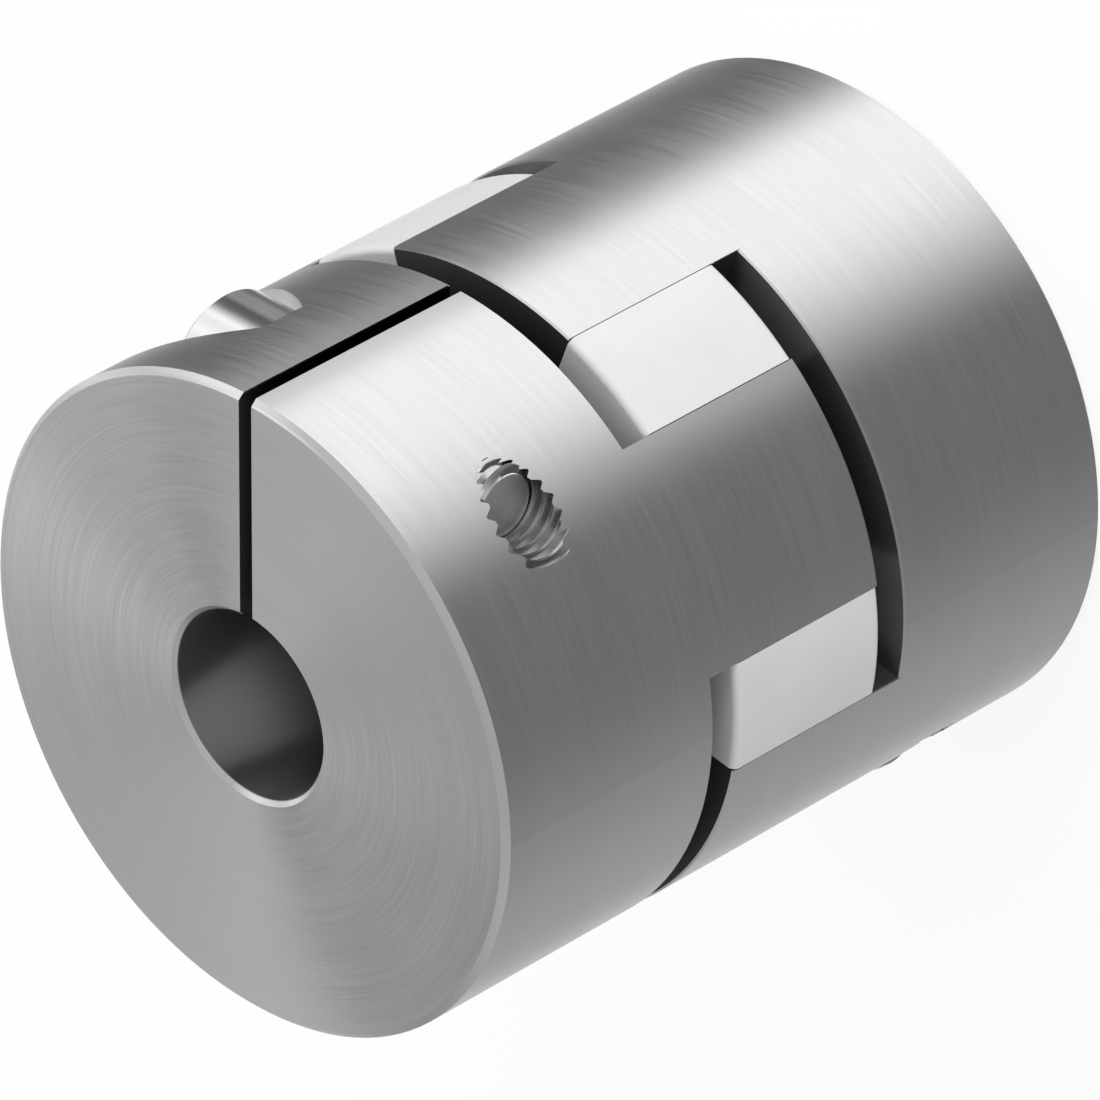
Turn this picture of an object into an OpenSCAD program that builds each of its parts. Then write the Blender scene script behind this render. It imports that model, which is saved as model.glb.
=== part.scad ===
// Backlash-free jaw coupling for two shafts: two clamping hubs whose jaws interleave, an
// elastomer star pressed between the jaws, and one socket head screw across the slit of each hub.
// It stands on the end face of the lower hub, with the shaft axis along Z.

/* [Hubs] */
// Outer diameter of the hubs and of the insert
outer_d = 42; // [40:0.5:46]
// Length of a hub's clamping body, from its end face to the face that carries the jaws
body_l = 17; // [15:0.5:22]
// Shaft bore of the upper hub
upper_bore_d = 12; // [8:0.5:16]
// Shaft bore of the lower hub
lower_bore_d = 12; // [8:0.5:16]
// Width of the slit that lets a hub close on its shaft
slit_w = 1; // [0.6:0.1:1.6]
// Chamfer round the outside of each end face
rim_chamfer = 0.4; // [0.2:0.1:0.8]
// Chamfer at both ends of the shaft bore
bore_chamfer = 0.3; // [0.1:0.1:0.6]
// Fine edge break on the jaw tips and round the inner face of each hub
edge_break = 0.12; // [0.06:0.02:0.3]

/* [Jaws and insert] */
// Jaws on each hub, an odd number so that a hub turned end for end meshes with its twin
jaws = 3; // [3:2:5]
// Angle that one leg of the insert takes up
leg_angle = 20; // [16:1:24]
// Width of the insert along the shaft axis
insert_w = 12; // [9:0.5:15]
// Free length between the insert and the inner face of each hub, and past each jaw tip
end_gap = 2; // [1:0.1:3]
// Diameter of the ring that joins the legs
core_d = 24; // [22:0.5:26]
// Hole through the middle of the insert
insert_hole_d = 19; // [17:0.5:20]
// Rounding of the insert's outer and inner edges
insert_round = 0.5; // [0.2:0.1:0.8]
// Fillet between the legs and the ring, which the inner corners of the jaws follow
root_fillet = 1.5; // [0.8:0.1:1.8]
// Clearance between the insert and the jaws
insert_gap = 0.06; // [0.04:0.01:0.2]

/* [Clamp screws] */
// Thread diameter of the screw
screw_d = 5; // [4:0.5:6]
// Length of the screw under its head
screw_l = 18; // [16:0.5:19]
// Distance of the screw's axis inside the outer diameter
screw_depth = 5.5; // [5:0.1:6.5]
// Distance of the screw from the hub's end face
screw_inset = 8.5; // [7:0.5:9]
// Depth of the head's seat, measured from the middle of the slit
seat_depth = 5.6; // [5:0.1:6.5]
// Diameter of the screw head
head_d = 8.5; // [8:0.5:10]
// Height of the screw head
head_h = 5; // [4:0.5:6]
// Chamfer round the top of the head
head_chamfer = 0.4; // [0.2:0.1:0.8]
// Width across the flats of the hexagon socket
socket_w = 4; // [3:0.5:5]
// Depth of the hexagon socket
socket_h = 2.5; // [2:0.1:3]
// Chamfer at the tip of the screw
tip_chamfer = 0.5; // [0.2:0.1:0.8]
// Clearance round the thread in the tapped hole
thread_gap = 0.05; // [0.02:0.01:0.1]
// Clearance round the screw between its head and the slit
shank_gap = 0.25; // [0.1:0.05:0.5]
// Clearance round the head in its counterbore
head_gap = 0.75; // [0.25:0.05:1]

/* [Hidden] */
$fn = 96;
// Sides of a full circle in the small roundings of the insert
round_sides = 20;
outer_r = outer_d / 2;
core_r = core_d / 2;
screw_offset = outer_r - screw_depth;
jaw_inner_r = core_r + insert_gap;
// Heights above the middle of the coupling
insert_z = insert_w / 2;
web_z = insert_z + end_gap;
face_z = web_z + body_l;
screw_z = face_z - screw_inset;
// One jaw and one leg share this angle
pitch_angle = 180 / jaws;
jaw_angle = pitch_angle - leg_angle;
slit_angle = 90;
// Reach of the cutting solids past the surfaces that they cut
cut = 1;
// Overlap by which a rounding arc crosses the two faces that it joins
blend = 0.01;
aluminium = [0.74, 0.75, 0.77];
elastomer = [0.93, 0.93, 0.91];
steel = [0.60, 0.61, 0.63];

// Plane wedge from the shaft axis along +X, its two sides moved outwards by a margin
module wedge(angle, margin) {
    apex = -margin / sin(angle / 2);
    reach = 2 * outer_r;
    spread = (reach - apex) * tan(angle / 2);
    polygon([[apex, 0], [reach, -spread], [reach, spread]]);
}

// Corner between the ring and the upper side of a leg along +X, filled up to an arc. Every arc has
// the same centre, so the jaw's rounded corner follows the insert's fillet at its margin.
module root_corner(margin) {
    centre_r = core_r + root_fillet;
    centre_angle = leg_angle / 2 + asin(root_fillet / centre_r);
    foot_r = sqrt(pow(centre_r, 2) - pow(root_fillet, 2));
    centre = centre_r * [cos(centre_angle), sin(centre_angle)];
    foot = foot_r * [cos(leg_angle / 2), sin(leg_angle / 2)];
    difference() {
        polygon([[0, 0], foot, centre]);
        translate(centre) circle(root_fillet - margin + blend);
    }
}

// Both root corners of every leg
module root_corners(margin) {
    for (i = [0 : 2 * jaws - 1])
        rotate(slit_angle + (i + 0.5) * pitch_angle) {
            root_corner(margin);
            mirror([0, 1]) root_corner(margin);
        }
}

// Outline of one hub's jaws, which leave out the place over the slit
module jaw_outline() {
    difference() {
        circle(outer_r + cut);
        circle(jaw_inner_r);
        root_corners(insert_gap);
        for (i = [0 : jaws - 1])
            rotate(slit_angle + 2 * i * pitch_angle) wedge(2 * pitch_angle - jaw_angle, insert_gap);
    }
}

// Half section of the clamping body, with its chamfered rim, bore and inner face
module body_section(bore_r) {
    polygon([
        [bore_r, web_z + bore_chamfer],
        [bore_r + bore_chamfer, web_z],
        [outer_r - edge_break, web_z],
        [outer_r, web_z + edge_break],
        [outer_r, face_z - rim_chamfer],
        [outer_r - rim_chamfer, face_z],
        [bore_r + bore_chamfer, face_z],
        [bore_r, face_z - bore_chamfer]
    ]);
}

// Half section of the ring from which the jaws are cut, with broken edges at the tip
module jaw_section() {
    root_z = web_z + cut;
    polygon([
        [jaw_inner_r, root_z],
        [jaw_inner_r, edge_break - insert_z],
        [jaw_inner_r + edge_break, -insert_z],
        [outer_r - edge_break, -insert_z],
        [outer_r, edge_break - insert_z],
        [outer_r, root_z]
    ]);
}

// Solids that the clamp screw and the slit take out of a hub, its screw along +X
module clamp_cuts() {
    slit_reach = outer_r + cut;
    rotate(slit_angle)
        translate([0, -slit_w / 2, web_z - cut]) cube([slit_reach, slit_w, body_l + 2 * cut]);
    translate([0, screw_offset, screw_z])
        rotate([0, 90, 0]) {
            cylinder(h = slit_reach, d = screw_d);
            translate([0, 0, -seat_depth]) cylinder(h = seat_depth, r = screw_d / 2 + shank_gap);
            translate([0, 0, -slit_reach]) cylinder(h = slit_reach - seat_depth, r = head_d / 2 + head_gap);
        }
}

// Clamping hub with its jaws pointing down, about the middle of the coupling
module hub(bore_d) {
    difference() {
        union() {
            rotate_extrude() body_section(bore_d / 2);
            intersection() {
                rotate_extrude() jaw_section();
                translate([0, 0, -insert_z - cut])
                    linear_extrude(height = insert_z + web_z + 3 * cut) jaw_outline();
            }
        }
        clamp_cuts();
    }
}

// Outline of the star: the ring and its legs, one leg beside each side of every jaw
module star_outline() {
    circle(core_r);
    root_corners(0);
    intersection() {
        circle(outer_r + cut);
        for (i = [0 : 2 * jaws - 1])
            rotate(slit_angle + (i + 0.5) * pitch_angle) wedge(leg_angle, 0);
    }
}

// Half section of the insert, a rectangle with four round corners
module insert_section() {
    hole_r = insert_hole_d / 2;
    translate([hole_r + insert_round, -insert_z])
        square([outer_r - hole_r - 2 * insert_round, insert_w]);
    translate([hole_r, insert_round - insert_z])
        square([outer_r - hole_r, insert_w - 2 * insert_round]);
    for (x = [hole_r + insert_round, outer_r - insert_round])
        for (y = [insert_round - insert_z, insert_z - insert_round])
            translate([x, y]) circle(insert_round, $fn = round_sides);
}

// Half section of the screw from the top of its head to its tip, its seat at zero
module screw_section() {
    head_r = head_d / 2;
    thread_r = screw_d / 2 - thread_gap;
    polygon([
        [0, -head_h],
        [head_r - head_chamfer, -head_h],
        [head_r, head_chamfer - head_h],
        [head_r, 0],
        [thread_r, 0],
        [thread_r, screw_l - tip_chamfer],
        [thread_r - tip_chamfer, screw_l],
        [0, screw_l]
    ]);
}

// Socket head cap screw along +X in the place of the upper hub's screw
module clamp_screw() {
    socket_r = socket_w / sqrt(3);
    point_h = 0.3 * socket_w;
    translate([-seat_depth, screw_offset, screw_z])
        rotate([0, 90, 0])
            difference() {
                rotate_extrude() screw_section();
                translate([0, 0, -head_h - cut]) cylinder(h = socket_h + cut, r = socket_r, $fn = 6);
                translate([0, 0, socket_h - head_h - cut])
                    cylinder(h = cut + point_h, r1 = socket_w / 2, r2 = 0);
            }
}

// Moves a piece modelled about the middle of the coupling to the upper half
module in_upper_half() {
    translate([0, 0, face_z]) children();
}

// Turns it end for end about the screw's direction, into the lower half
module in_lower_half() {
    in_upper_half() rotate([180, 0, 0]) children();
}

module upper_hub() {
    color(aluminium) in_upper_half() hub(upper_bore_d);
}

module lower_hub() {
    color(aluminium) in_lower_half() hub(lower_bore_d);
}

module star_insert() {
    color(elastomer)
        in_upper_half()
            intersection() {
                rotate_extrude() insert_section();
                translate([0, 0, -insert_z - cut]) linear_extrude(height = insert_w + 2 * cut) star_outline();
            }
}

module upper_clamp_screw() {
    color(steel) in_upper_half() clamp_screw();
}

module lower_clamp_screw() {
    color(steel) in_lower_half() clamp_screw();
}

upper_hub();
lower_hub();
star_insert();
upper_clamp_screw();
lower_clamp_screw();
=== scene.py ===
import math

import bmesh
import bpy
from mathutils import Matrix, Vector


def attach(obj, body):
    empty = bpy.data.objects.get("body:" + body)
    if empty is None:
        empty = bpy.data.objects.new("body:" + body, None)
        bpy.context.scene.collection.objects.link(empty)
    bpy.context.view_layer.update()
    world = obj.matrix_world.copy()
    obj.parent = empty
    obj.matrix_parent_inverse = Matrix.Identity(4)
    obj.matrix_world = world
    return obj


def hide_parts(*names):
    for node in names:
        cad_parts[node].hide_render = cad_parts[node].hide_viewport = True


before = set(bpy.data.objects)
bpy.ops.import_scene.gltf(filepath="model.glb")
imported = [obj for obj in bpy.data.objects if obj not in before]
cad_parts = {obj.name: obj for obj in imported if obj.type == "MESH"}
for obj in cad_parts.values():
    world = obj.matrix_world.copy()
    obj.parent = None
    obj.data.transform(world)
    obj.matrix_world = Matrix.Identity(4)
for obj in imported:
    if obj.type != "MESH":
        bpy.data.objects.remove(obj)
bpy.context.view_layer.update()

# Jaw coupling on its end face, in metres, with the shaft axis along Z.
mm = 0.001
partRadius = 21.0 * mm
partHeight = 50.0 * mm
scene = bpy.context.scene
print("stage: frame loaded")


# Shader helpers

class Value:
    # A socket that takes part in Python arithmetic; each operator adds one Math node
    def __init__(self, graph, socket):
        self.graph = graph
        self.socket = socket

    def __add__(self, other):
        return self.graph.maths("ADD", self, other)

    def __radd__(self, other):
        return self.graph.maths("ADD", other, self)

    def __sub__(self, other):
        return self.graph.maths("SUBTRACT", self, other)

    def __rsub__(self, other):
        return self.graph.maths("SUBTRACT", other, self)

    def __mul__(self, other):
        return self.graph.maths("MULTIPLY", self, other)

    def __rmul__(self, other):
        return self.graph.maths("MULTIPLY", other, self)

    def __truediv__(self, other):
        return self.graph.maths("DIVIDE", self, other)

    def __rtruediv__(self, other):
        return self.graph.maths("DIVIDE", other, self)

    def __lt__(self, other):
        return self.graph.maths("LESS_THAN", self, other)

    def __gt__(self, other):
        return self.graph.maths("GREATER_THAN", self, other)

    def __abs__(self):
        return self.graph.maths("ABSOLUTE", self)


class Graph:
    def __init__(self, tree):
        self.tree = tree
        tree.nodes.clear()

    def add(self, kind, settings=None, sockets=None):
        # Any node: its settings are set first, then the values or links of its sockets
        node = self.tree.nodes.new(kind)
        for name, setting in (settings or {}).items():
            setattr(node, name, setting)
        for name, given in (sockets or {}).items():
            if isinstance(given, Value):
                self.tree.links.new(given.socket, node.inputs[name])
            else:
                node.inputs[name].default_value = given
        return node

    def take(self, node, name=0):
        return Value(self, node.outputs[name])

    def maths(self, operation, *terms):
        node = self.add("ShaderNodeMath", {"operation": operation}, dict(enumerate(terms)))
        return self.take(node)

    def place(self, shift=(0, 0, 0)):
        # Object coordinates, set off by a Mapping node
        coords = self.take(self.add("ShaderNodeTexCoord"), "Object")
        return self.take(self.add("ShaderNodeMapping", None, {"Vector": coords, "Location": shift}))

    def parts(self, vector):
        split = self.add("ShaderNodeSeparateXYZ", None, {0: vector})
        return [self.take(split, name) for name in "XYZ"]

    def vector(self, x, y, z):
        return self.take(self.add("ShaderNodeCombineXYZ", None, {"X": x, "Y": y, "Z": z}))

    def noise(self, vector, scale=1.0, detail=2.0, roughness=0.5):
        return self.take(self.add("ShaderNodeTexNoise", None, {
            "Vector": vector, "Scale": scale, "Detail": detail, "Roughness": roughness}), "Fac")

    def ramp(self, value, low, high, toLow=0.0, toHigh=1.0):
        # Soft step from one level to another
        return self.take(self.add("ShaderNodeMapRange", {"interpolation_type": "SMOOTHSTEP"}, {
            "Value": value, "From Min": low, "From Max": high, "To Min": toLow, "To Max": toHigh}))

    def blend(self, factor, first, second):
        # Mix of two colours
        mix = self.add("ShaderNodeMix", {"data_type": "RGBA"}, {0: factor, 6: first, 7: second})
        return self.take(mix, 2)

    def tint(self, colour, level):
        # A colour times a grey level
        grey = self.take(self.add("ShaderNodeCombineColor", None, {0: level, 1: level, 2: level}))
        mix = self.add("ShaderNodeMix", {"data_type": "RGBA", "blend_type": "MULTIPLY"},
                       {0: 1.0, 6: colour, 7: grey})
        return self.take(mix, 2)

    def lean(self, factor, towards):
        # The surface normal, drawn towards another direction
        normal = self.take(self.add("ShaderNodeNewGeometry"), "Normal")
        mix = self.add("ShaderNodeMix", {"data_type": "VECTOR"},
                       {0: factor, 4: normal, 5: towards})
        return self.take(mix, 1)

    def bump(self, height, distance, normal=None):
        sockets = {"Height": height, "Distance": distance}
        if normal:
            sockets["Normal"] = normal
        return self.take(self.add("ShaderNodeBump", None, sockets))


def newMaterial(name):
    material = bpy.data.materials.new(name)
    material.use_nodes = True
    return material, Graph(material.node_tree)


def finishMaterial(graph, sockets):
    shader = graph.add("ShaderNodeBsdfPrincipled", None, sockets)
    graph.add("ShaderNodeOutputMaterial", None, {"Surface": graph.take(shader)})


def rgba(colour):
    return (*colour, 1.0)


# Materials

hubFinish = {
    "colour": (0.80, 0.80, 0.805),
    "roughness": 0.38,
    "anisotropy": 0.92,
    "lineSpacing": 0.15 * mm,      # turning lines left by the lathe
    "lineHeight": 0.0022 * mm,
    "lineWander": 1.3,             # how unevenly a line runs round the part
    "lineDetail": (2.0, 0.6),      # detail and roughness of the pattern
    "lineShare": 0.7,
    "bandScale": 0.06,             # broad bands, as a share of the scale of the lines
    "bandWander": 0.8,
    "bandDetail": (2.0, 0.5),
    "bandShare": 0.6,
    "bandDull": 0.03,
    "streakScale": 0.6,            # duller and brighter streaks along the lines
    "streakWander": 3.0,
    "streakDetail": (1.0, 0.5),
    "streakDull": 0.09,
    "toneRange": 0.05,             # how far lines and bands change the colour
    "sheenTurn": 0.25,             # a quarter turn: the sheen runs across the turning lines
    "faceLines": 8.0,              # how much deeper the lines are on the end faces
    "lineSide": -18,               # the way, in degrees from +X, in which they show most
    "faceTwist": 3.6,              # saddle of the end faces' normals, which turns their sheen
    "insidePaintedShade": (0.30, 0.30, 0.303),   # painted shade on milled faces that mirror the legs' ends
    "insideRoughness": 0.36,
    "jawPaintedShade": (0.16, 0.16, 0.162),      # painted shade on the jaw tips and sides, in the gaps
    "slitPaintedShade": (0.08, 0.08, 0.082),     # painted shade in the sawn slit
    "slitRoughness": 0.7,
    # painted shade down the bore, darker than the outside
    "borePaintedShade": (0.32, 0.32, 0.324),
    "boreRoughness": 0.36,
    "boreRadius": 6.0 * mm,
    "innerFace": 8.0 * mm,         # half the distance between the two inner faces
    "jawTip": 6.0 * mm,            # distance of the jaw tips from the middle of the part
    "slitHalf": 0.5 * mm,
    "edge": 0.12 * mm,
    "edgeLean": 0.8,               # how far the broken edges shade like the outside next to them
    "margin": 0.02,                # how far masks reach past an edge or slit, as a share of it
    "overlap": 0.3,                # the same for the bore and the inner faces
}


def turnedAluminium(name, finish):
    material, g = newMaterial(name)
    x, y, z = g.parts(g.place())
    radius = g.maths("SQRT", x * x + y * y)
    # The lathe's feed runs along the axis on the outside and along the radius on a face
    feed = (radius + z) / finish["lineSpacing"]

    def turned(scale, wander, detail):
        way = g.vector(feed * scale, x / radius * wander, y / radius * wander)
        return g.noise(way, 1.0, *detail)

    lines = turned(1.0, finish["lineWander"], finish["lineDetail"])
    bands = turned(finish["bandScale"], finish["bandWander"], finish["bandDetail"])
    streaks = turned(finish["streakScale"], finish["streakWander"], finish["streakDetail"])

    # Masks of the inner faces, jaws, bores, slits and end faces
    edge = finish["edge"]
    halfEdge = edge * (0.5 + finish["margin"] / 2)
    middle = partHeight / 2
    fromMiddle = abs(z - middle)
    inRadius = radius < partRadius - edge
    inHeight = fromMiddle < finish["innerFace"] + edge * finish["overlap"]
    inBore = radius < finish["boreRadius"] + edge * finish["overlap"]
    onFace = fromMiddle > middle - edge
    # The upper slit opens towards +Y and the lower one towards -Y
    slitSide = y * (z - middle) > 0.0
    slitWidth = abs(x) < finish["slitHalf"] * (1 + finish["margin"])
    inSlit = slitWidth * inRadius * slitSide * (1 - inHeight)
    inside = inRadius * inHeight
    onJaw = inRadius * (fromMiddle < finish["jawTip"] + edge)

    # The broken edges between the outside and the inner faces and jaw tips
    besideFace = abs(fromMiddle - finish["innerFace"] - edge / 2) < halfEdge
    besideTip = abs(fromMiddle - finish["jawTip"] + edge / 2) < halfEdge
    atOutside = radius > partRadius - edge * (1 + finish["margin"])
    onBreak = (besideFace + besideTip) * atOutside
    normal = g.lean(onBreak * finish["edgeLean"], g.vector(x / radius, y / radius, 0.0))

    # On the end faces the lines are deepest along one direction, and a saddle turns the normal
    side = math.radians(finish["lineSide"])
    along = (x * math.cos(side) + y * math.sin(side)) / radius
    depth = 1.0 + onFace * along * along * (finish["faceLines"] - 1.0)
    twist = onFace * x * y * (finish["faceTwist"] / finish["lineHeight"])
    relief = (lines * finish["lineShare"] + bands * finish["bandShare"]) * depth + twist
    tone = 1.0 + ((lines - 0.5) * depth + (bands - 0.5)) * finish["toneRange"]
    colour = g.tint(rgba(finish["colour"]), tone)
    # Painted shade: the bore, inner faces, jaws and slit take darker colours than the outside
    for mask, shade in ((inBore, "borePaintedShade"), (inside, "insidePaintedShade"),
                        (onJaw, "jawPaintedShade"), (inSlit, "slitPaintedShade")):
        colour = g.blend(mask, colour, rgba(finish[shade]))
    dull = (streaks - 0.5) * finish["streakDull"] + (bands - 0.5) * finish["bandDull"]
    roughness = finish["roughness"] + dull
    for mask, level in ((inBore, "boreRoughness"), (inside, "insideRoughness"),
                        (inSlit, "slitRoughness")):
        roughness = roughness * (1 - mask) + mask * finish[level]
    finishMaterial(g, {
        "Base Color": colour,
        "Metallic": 1.0,
        "Roughness": roughness,
        "Anisotropic": finish["anisotropy"],
        "Anisotropic Rotation": finish["sheenTurn"],
        "Normal": g.bump(relief, finish["lineHeight"], normal),
    })
    return material


tapFinish = {
    "colour": (0.52, 0.52, 0.53),
    "roughness": 0.26,
    "markSpacing": 0.1 * mm,
    "markHeight": 0.002 * mm,
    "toneRange": 0.2,
    "dullRange": 0.1,
}


def tappedAluminium(name, finish):
    # Cut by the tap, so glossier and less even than the turned outside
    material, g = newMaterial(name)
    marks = g.noise(g.place(), 1 / finish["markSpacing"])
    finishMaterial(g, {
        "Base Color": g.tint(rgba(finish["colour"]), 1 + (marks - 0.5) * finish["toneRange"]),
        "Metallic": 1.0,
        "Roughness": finish["roughness"] + (marks - 0.5) * finish["dullRange"],
        "Normal": g.bump(marks, finish["markHeight"]),
    })
    return material


insertFinish = {
    "colour": (0.86, 0.86, 0.857),
    "shade": (0.825, 0.825, 0.82),
    "roughness": 0.42,
    "grainSize": 0.35 * mm,
    "grainHeight": 0.004 * mm,
    "grainDetail": (3.0, 0.6),
    "cloudSize": 4.2 * mm,
    "cloudRange": (0.35, 0.7),     # where in the cloud pattern the colour turns to the shade
    "dullRange": 0.12,
}


def mouldedElastomer(name, finish):
    material, g = newMaterial(name)
    coords = g.place()
    grain = g.noise(coords, 1 / finish["grainSize"], *finish["grainDetail"])
    cloud = g.noise(coords, 1 / finish["cloudSize"])
    shaded = g.ramp(cloud, *finish["cloudRange"])
    colour = g.blend(shaded, rgba(finish["colour"]), rgba(finish["shade"]))
    finishMaterial(g, {
        "Base Color": colour,
        "Roughness": finish["roughness"] + (cloud - 0.5) * finish["dullRange"],
        "Normal": g.bump(grain, finish["grainHeight"]),
    })
    return material


screwFinish = {
    "colour": (0.71, 0.71, 0.715),
    "roughness": 0.15,
    "markSpacing": 0.12 * mm,
    "markHeight": 0.0015 * mm,
    "markWander": 150,             # how unevenly a mark runs round the screw, per metre
    "cloudScale": 900.0,           # clouds per metre
    "darkest": 0.94,               # level of the colour where there is neither mark nor cloud
    "markTone": 0.06,
    "cloudTone": 0.06,
    "cloudDull": 0.08,
    "tip": 12.3 * mm,              # place of the tip along X, which is duller than the head
    "tipRoughness": 0.36,
    "tipTone": 1.18,
    "socketRadius": 2.36 * mm,
    "socketTop": -10.3 * mm,       # just inside the mouth of the hexagon socket
    # painted shade inside the hexagon socket
    "socketPaintedShade": 0.35,
    "socketRoughness": 0.34,
}


def platedSteel(name, finish, centreY, centreZ):
    # The screw's axis runs along X through this centre
    material, g = newMaterial(name)
    x, y, z = g.parts(g.place(shift=(0, -centreY, -centreZ)))
    radius = g.maths("SQRT", y * y + z * z)
    wander = finish["markWander"]
    marks = g.noise(g.vector((radius + x) / finish["markSpacing"], y * wander, z * wander))
    cloud = g.noise(g.vector(x, y, z), finish["cloudScale"])
    atTip = x > finish["tip"]
    inSocket = (radius < finish["socketRadius"]) * (x > finish["socketTop"]) * (x < 0.0)
    roughness = finish["roughness"] + (cloud - 0.5) * finish["cloudDull"]
    roughness = roughness + atTip * (finish["tipRoughness"] - finish["roughness"])
    roughness = roughness + inSocket * (finish["socketRoughness"] - finish["roughness"])
    tone = finish["darkest"] + marks * finish["markTone"] + cloud * finish["cloudTone"]
    tone = tone * (1 - inSocket * finish["socketPaintedShade"]) * (1 + atTip * (finish["tipTone"] - 1))
    finishMaterial(g, {
        "Base Color": g.tint(rgba(finish["colour"]), tone),
        "Metallic": 1.0,
        "Roughness": roughness,
        "Normal": g.bump(marks, finish["markHeight"]),
    })
    return material


hubMaterial = turnedAluminium("turnedAluminium", hubFinish)
insertMaterial = mouldedElastomer("mouldedElastomer", insertFinish)
tapMaterial = tappedAluminium("tappedAluminium", tapFinish)


def dress(name, material):
    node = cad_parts[name]
    for holder in node.material_slots:
        holder.material = material
    if not node.material_slots:
        node.data.materials.append(material)


for name in ("upper_hub", "lower_hub"):
    dress(name, hubMaterial)
dress("star_insert", insertMaterial)
print("stage: hubs and insert finished")


# Clamp screws and tapped holes

screw = {
    "threadRadius": 2.45 * mm,
    "coreRadius": 1.97 * mm,
    "crestHalf": 0.05 * mm,        # half the flat on the crest
    "pitch": 0.8 * mm,
    "length": 18.0 * mm,
    "tipChamfer": 0.5 * mm,
    "headRadius": 4.25 * mm,
    "headHeight": 5.0 * mm,
    "headChamfer": 0.4 * mm,
    "seatRound": 0.15 * mm,
    "socketWidth": 4.0 * mm,
    "socketDepth": 2.5 * mm,
    "socketChamfer": 0.2 * mm,
    "pointReach": 1.0 * mm,        # depth of the drilled point under the socket
    "pointTip": 0.1 * mm,
    "pointStart": 0.2 * mm,        # how far above the socket's floor its cutter starts
    "shankStart": 0.6 * mm,        # how far the shank reaches into the head
    "spareTurns": 1.5,             # turns past each end, which are cut off again
    "flankAngle": 30,
    "steps": 64,                   # steps of one turn of thread
    "headSteps": 128,
    "socketSteps": 96,
    "sharpAngle": 32,
    "seat": -5.6 * mm,             # place of the head's seat along X
    "fromAxis": 15.5 * mm,         # distance of its axis from the shaft's
    "fromFace": 8.5 * mm,          # and from the end face of the hub
}

tappedHole = {
    "rootRadius": 2.53 * mm,       # a little into the wall of the CAD hole
    "crestRadius": 2.07 * mm,
    "crestHalf": 0.10 * mm,
    "rootHalf": 0.365 * mm,
    "start": 10.4 * mm,            # place of the first ridge along X
    "end": 17.4 * mm,              # and of the last, past the outside
    "trimSides": 720,
    "sharpAngle": 20,
    "flush": 0.01 * mm,            # closer to the outside than this, a face counts as turned
}

spare = 1.0 * mm                   # how far a cutting tool starts outside what it cuts
mergeDistance = 0.0001 * mm


def objectFrom(mesh, name, material=None, sharpAngle=32):
    data = bpy.data.meshes.new(name)
    bmesh.ops.recalc_face_normals(mesh, faces=mesh.faces)
    mesh.to_mesh(data)
    mesh.free()
    data.shade_smooth()
    data.set_sharp_from_angle(angle=math.radians(sharpAngle))
    if material:
        data.materials.append(material)
    piece = bpy.data.objects.new(name, data)
    scene.collection.objects.link(piece)
    return piece


def carve(piece, tool, operation):
    # Applies an exact boolean and throws the tool away
    change = piece.modifiers.new("carve", "BOOLEAN")
    change.operation = operation
    change.solver = "EXACT"
    change.object = tool
    bpy.context.view_layer.update()
    evaluated = piece.evaluated_get(bpy.context.evaluated_depsgraph_get())
    cut = bpy.data.meshes.new_from_object(evaluated)
    old = piece.data
    piece.modifiers.clear()
    cut.name = old.name
    piece.data = cut
    bpy.data.meshes.remove(old)
    toolData = tool.data
    bpy.data.objects.remove(tool)
    bpy.data.meshes.remove(toolData)


def sectionEdges(mesh, points):
    # A chain of edges through points given as (along X, radius)
    corners = [mesh.verts.new((along, radius, 0)) for along, radius in points]
    return corners + [mesh.edges.new(pair) for pair in zip(corners, corners[1:])]


def spinRound(mesh, geometry, turns, steps, advance=0.0):
    # Spins round the X axis and moves on by "advance" in each turn
    full = turns == 1 and advance == 0
    bmesh.ops.spin(mesh, geom=geometry, cent=(0, 0, 0), axis=(1, 0, 0),
                   dvec=(advance / steps, 0, 0), angle=2 * math.pi * turns,
                   steps=round(steps * turns), use_merge=full)


def fillOpenLoops(mesh):
    rims = [edge for edge in mesh.edges if edge.is_boundary]
    made = bmesh.ops.holes_fill(mesh, edges=rims, sides=0)["faces"]
    bmesh.ops.triangulate(mesh, faces=made)


def cutFlat(mesh, along, side):
    # Takes away what lies past a plane across X; side +1 clears above it
    bmesh.ops.bisect_plane(mesh, geom=mesh.verts[:] + mesh.edges[:] + mesh.faces[:],
                           plane_co=(along, 0, 0), plane_no=(side, 0, 0), clear_outer=True)


def threadedShank(s):
    mesh = bmesh.new()
    half, crest, pitch = s["pitch"] / 2, s["crestHalf"], s["pitch"]
    slope = (s["threadRadius"] - s["coreRadius"]) * math.tan(math.radians(s["flankAngle"]))
    start = -s["spareTurns"] * pitch
    points = [(start, s["coreRadius"]),
              (start + half - crest - slope, s["coreRadius"]),
              (start + half - crest, s["threadRadius"]),
              (start + half + crest, s["threadRadius"]),
              (start + half + crest + slope, s["coreRadius"]),
              (start + pitch, s["coreRadius"])]
    sectionEdges(mesh, points)
    bmesh.ops.subdivide_edges(mesh, edges=mesh.edges[:], cuts=1)
    turns = math.ceil(s["length"] / pitch) + 2 * s["spareTurns"]
    spinRound(mesh, mesh.verts[:] + mesh.edges[:], turns, s["steps"], pitch)
    bmesh.ops.remove_doubles(mesh, verts=mesh.verts, dist=mergeDistance)
    cutFlat(mesh, s["length"], 1)
    cutFlat(mesh, -s["shankStart"], -1)
    chamferStart = s["length"] - s["tipChamfer"]
    for corner in mesh.verts:
        radius = math.hypot(corner.co.y, corner.co.z)
        limit = s["threadRadius"] - max(0.0, corner.co.x - chamferStart)
        if radius > limit:
            corner.co.y *= limit / radius
            corner.co.z *= limit / radius
    fillOpenLoops(mesh)
    return mesh


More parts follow.
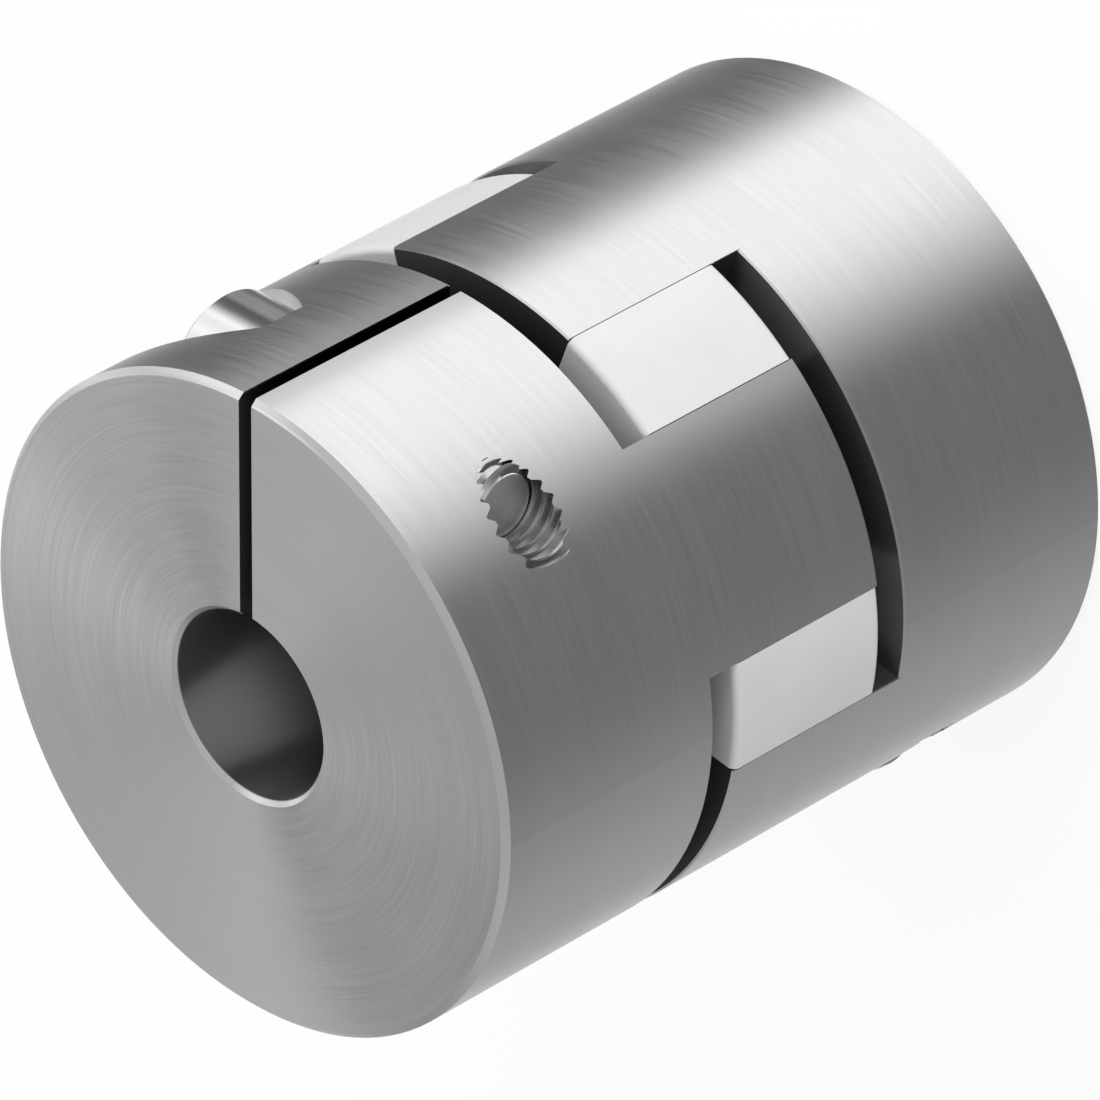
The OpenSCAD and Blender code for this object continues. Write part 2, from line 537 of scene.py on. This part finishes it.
def screwHead(s):
    mesh = bmesh.new()
    top = -s["headHeight"]
    points = [(top, 0),
              (top, s["headRadius"] - s["headChamfer"]),
              (top + s["headChamfer"], s["headRadius"]),
              (-s["seatRound"], s["headRadius"]),
              (0, s["headRadius"] - s["seatRound"]),
              (0, 0)]
    spinRound(mesh, sectionEdges(mesh, points), 1, s["headSteps"])
    bmesh.ops.remove_doubles(mesh, verts=mesh.verts, dist=mergeDistance)
    return mesh


def coneAlongX(fromX, toX, fromRadius, toRadius, sides):
    mesh = bmesh.new()
    turn = Matrix.Rotation(math.radians(90), 4, "Y")
    middle = Matrix.Translation(((fromX + toX) / 2, 0, 0))
    bmesh.ops.create_cone(mesh, cap_ends=True, segments=sides, radius1=fromRadius,
                          radius2=toRadius, depth=toX - fromX, matrix=middle @ turn)
    return mesh


def buildScrew(s):
    # The head less its hexagon socket, which has a mouth of 45 degrees and a drilled point, and
    # the shank
    top = -s["headHeight"]
    floor = top + s["socketDepth"]
    corner = s["socketWidth"] / math.sqrt(3)
    mouth = corner + s["socketChamfer"]
    hexagon = coneAlongX(top - spare, floor, corner, corner, 6)
    flare = coneAlongX(top - mouth, top + s["socketChamfer"], 2 * mouth, corner, s["socketSteps"])
    point = coneAlongX(floor - s["pointStart"], floor + s["pointReach"],
                       s["socketWidth"] / 2 + s["pointStart"], s["pointTip"],
                       s["socketSteps"] // 2)
    piece = objectFrom(screwHead(s), "capScrew")
    for name, tool in (("hexTool", hexagon), ("flareTool", flare), ("pointTool", point)):
        carve(piece, objectFrom(tool, name), "DIFFERENCE")
    carve(piece, objectFrom(threadedShank(s), "shankTool"), "UNION")
    return piece


def buildTappedEnd(s, h, place):
    # The ridge of the internal thread near the mouth, trimmed to the round outside of the hub
    mesh = bmesh.new()
    # In step with the screw's thread
    ridge = h["start"] - s["seat"]
    start = ridge - ridge % s["pitch"] + s["seat"] - s["pitch"]
    points = [(start - h["rootHalf"], h["rootRadius"]),
              (start - h["crestHalf"], h["crestRadius"]),
              (start + h["crestHalf"], h["crestRadius"]),
              (start + h["rootHalf"], h["rootRadius"])]
    corners = [mesh.verts.new((along, radius, 0)) for along, radius in points]
    mesh.faces.new(corners)
    turns = math.ceil((h["end"] - start) / s["pitch"])
    spinRound(mesh, mesh.verts[:] + mesh.edges[:] + mesh.faces[:], turns, s["steps"], s["pitch"])
    ridges = objectFrom(mesh, "tappedEnd", sharpAngle=h["sharpAngle"])
    ridges.data.transform(place)
    trim = bmesh.new()
    bmesh.ops.create_cone(trim, cap_ends=True, segments=h["trimSides"], radius1=partRadius,
                          radius2=partRadius, depth=partHeight * 2,
                          matrix=Matrix.Translation((0, 0, partHeight / 2)))
    carve(ridges, objectFrom(trim, "trimTool"), "INTERSECT")
    return ridges


def placed(model, name, place, materials, sharpAngle):
    # A copy of a model with its place in its mesh
    data = model.data.copy()
    data.name = name
    data.transform(place)
    data.shade_smooth()
    data.set_sharp_from_angle(angle=math.radians(sharpAngle))
    data.materials.clear()
    for material in materials:
        data.materials.append(material)
    piece = bpy.data.objects.new(name, data)
    scene.collection.objects.link(piece)
    return piece


def discard(model):
    data = model.data
    bpy.data.objects.remove(model)
    bpy.data.meshes.remove(data)


upperAxis = Matrix.Translation((0, screw["fromAxis"], partHeight - screw["fromFace"]))
endForEnd = Matrix.Translation((0, 0, partHeight / 2)) @ Matrix.Rotation(math.pi, 4, "X") \
    @ Matrix.Translation((0, 0, -partHeight / 2))
screwModel = buildScrew(screw)
tapModel = buildTappedEnd(screw, tappedHole, upperAxis)
for half, turn in (("upper", Matrix.Identity(4)), ("lower", endForEnd)):
    axis = turn @ upperAxis
    centre = axis.translation
    steel = platedSteel(half + "PlatedSteel", screwFinish, centre.y, centre.z)
    seat = axis @ Matrix.Translation((screw["seat"], 0, 0))
    bolt = placed(screwModel, half + "CapScrew", seat, [steel], screw["sharpAngle"])
    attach(bolt, "root")
    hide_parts(half + "_clamp_screw")
    thread = placed(tapModel, half + "TappedEnd", turn, [hubMaterial, tapMaterial],
                    tappedHole["sharpAngle"])
    for face in thread.data.polygons:
        # Flush with the outside a face is turned, and elsewhere it is cut by the tap
        depth = partRadius - math.hypot(face.center.x, face.center.y)
        face.material_index = 1 if depth > tappedHole["flush"] else 0
    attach(thread, "root")
discard(screwModel)
discard(tapModel)
print("stage: screws and tapped holes built")


# Camera, floor and studio

# Fitted to outlines in the photograph by another program
viewpoint = {
    "position": (0.468975, 0.429802, 0.505840),
    "right": (0.71275, 0.00681, -0.70138),
    "up": (-0.38250, 0.84196, -0.38053),
    "lens": 444.33,
    "sensor": 36.0,
}


def placeCamera(v):
    data = bpy.data.cameras.new("photoCamera")
    data.lens = v["lens"]
    data.sensor_width = v["sensor"]
    camera = bpy.data.objects.new("photoCamera", data)
    right = Vector(v["right"]).normalized()
    back = right.cross(Vector(v["up"])).normalized()
    up = back.cross(right)
    turn = Matrix((right, up, back)).transposed().to_4x4()
    camera.matrix_world = Matrix.Translation(v["position"]) @ turn
    scene.collection.objects.link(camera)
    scene.camera = camera


studio = {
    "floorSize": 6.0,
    "floorCells": 8,
    "floorColour": (0.92, 0.92, 0.92),
    "floorGlow": 0.75,             # share of the floor that glows, for the camera alone
    "glowLevel": 1.12,             # brings the lit paper to white and leaves the shadow
    "room": 0.12,                  # level of the walls away from the panels
    "darkest": 0.02,               # the flags take the light no further down than this
    "nearPole": 1e-6,              # keeps a division from 0 straight up and down
    "floorDrop": 0.02 * mm,        # keeps the floor clear of the end face that stands on it
}

# Soft panels round the part, and two dark flags whose levels below 0 take light away. Each is at
# its full level as far as "full" degrees from its middle, along the azimuth and then the elevation,
# and "fade" degrees further out it has faded to nothing. These values and the level of the room
# weren't chosen by hand: another program fitted them to grey levels in the photograph, and the
# angles were rounded to half degrees afterwards.
panels = [
    {"name": "key", "azimuth": 112.5, "elevation": -43, "level": 1.67,
     "full": (19.5, 22.5), "fade": (58, 34)},
    {"name": "side", "azimuth": 226.5, "elevation": -36, "level": 1.38,
     "full": (0.5, 21), "fade": (46, 11.5)},
    {"name": "strip", "azimuth": 177.5, "elevation": 16.5, "level": 2.0,
     "full": (7, 3.5), "fade": (52.5, 14)},
    {"name": "top", "azimuth": 82, "elevation": 57, "level": 0.62,
     "full": (76, 25.5), "fade": (72.5, 56)},
    {"name": "back", "azimuth": 224, "elevation": 53, "level": 1.0,
     "full": (17, 2.5), "fade": (29, 14)},
    {"name": "front", "azimuth": -67.5, "elevation": 11, "level": 0.51,
     "full": (0, 35), "fade": (72.5, 23.5)},
    {"name": "flag", "azimuth": 158.5, "elevation": -14, "level": -1.6,
     "full": (7.5, 22.5), "fade": (17.5, 22)},
    {"name": "window", "azimuth": 139, "elevation": 18.5, "level": 0.71,
     "full": (15.5, 19.5), "fade": (13, 8.5)},
    {"name": "bar", "azimuth": 138.5, "elevation": -24.5, "level": -1.6,
     "full": (10.5, 4), "fade": (8.5, 17)},
]


def makeFloor(s):
    mesh = bmesh.new()
    bmesh.ops.create_grid(mesh, x_segments=s["floorCells"], y_segments=s["floorCells"],
                          size=s["floorSize"] / 2,
                          matrix=Matrix.Translation((0, 0, -s["floorDrop"])))
    material, g = newMaterial("paleFloor")
    paper = g.add("ShaderNodeBsdfDiffuse", None, {"Color": rgba(s["floorColour"])})
    glow = g.add("ShaderNodeEmission", None, {"Strength": s["glowLevel"]})
    seen = g.take(g.add("ShaderNodeLightPath"), "Is Camera Ray")
    mixed = g.add("ShaderNodeMixShader", None,
                  {0: seen * s["floorGlow"], 1: g.take(paper), 2: g.take(glow)})
    g.add("ShaderNodeOutputMaterial", None, {"Surface": g.take(mixed)})
    floor = objectFrom(mesh, "floor", material)
    floor.visible_glossy = False


def within(g, away, full, fade):
    # 1 within a panel's full width, down to 0 at the end of its fade, with angles given in degrees
    return g.ramp(away, math.radians(full), math.radians(full + fade), 1.0, 0.0)


def makeStudio(s, panels):
    world = bpy.data.worlds.new("studio")
    world.use_nodes = True
    scene.world = world
    g = Graph(world.node_tree)
    x, y, z = g.parts(g.take(g.add("ShaderNodeTexCoord"), "Generated"))
    across = g.maths("SQRT", x * x + y * y + s["nearPole"])
    height = g.maths("ARCSINE", z)
    light = s["room"]
    for panel in panels:
        middle = math.radians(panel["azimuth"])
        facing = (x * math.cos(middle) + y * math.sin(middle)) / across
        facing = g.maths("MINIMUM", g.maths("MAXIMUM", facing, -1.0), 1.0)
        aside = g.maths("ARCCOSINE", facing)
        above = abs(height - math.radians(panel["elevation"]))
        shares = [within(g, away, full, fade)
                  for away, full, fade in zip((aside, above), panel["full"], panel["fade"])]
        light = light + shares[0] * shares[1] * panel["level"]
    light = g.maths("MAXIMUM", light, s["darkest"])
    seen = g.take(g.add("ShaderNodeLightPath"), "Is Camera Ray")
    background = g.add("ShaderNodeBackground", None, {"Strength": light * (1 - seen) + seen})
    g.add("ShaderNodeOutputWorld", None, {"Surface": g.take(background)})


# The key and the fill light only what isn't metal, which mirrors the panels alone. The last one
# stands in for the light that comes up the bore.
lamps = [
    {"name": "keyLamp", "from": (0.15, 1.0, 0.25), "to": (0, 0, 0.025),
     "size": 0.6, "power": 4.3, "mirrored": False},
    {"name": "fillLamp", "from": (1.0, 0.1, 0.2), "to": (0, 0, 0.025),
     "size": 0.8, "power": 0.9, "mirrored": False},
    {"name": "boreLamp", "from": (0, 0, 0.045), "to": (-0.0044, -0.0041, 0.0492),
     "size": 0.007, "power": 0.000055, "mirrored": True},
]


def makeLamp(lamp):
    data = bpy.data.lights.new(lamp["name"], "AREA")
    data.shape = "DISK"
    data.size = lamp["size"]
    data.energy = lamp["power"]
    light = bpy.data.objects.new(lamp["name"], data)
    light.location = lamp["from"]
    ahead = Vector(lamp["to"]) - Vector(lamp["from"])
    light.rotation_euler = ahead.to_track_quat("-Z", "Y").to_euler()
    light.visible_camera = False
    light.visible_glossy = lamp["mirrored"]
    scene.collection.objects.link(light)


placeCamera(viewpoint)
makeFloor(studio)
makeStudio(studio, panels)
for lamp in lamps:
    makeLamp(lamp)
scene.view_settings.view_transform = "Standard"
print("stage: camera, floor and lights placed")
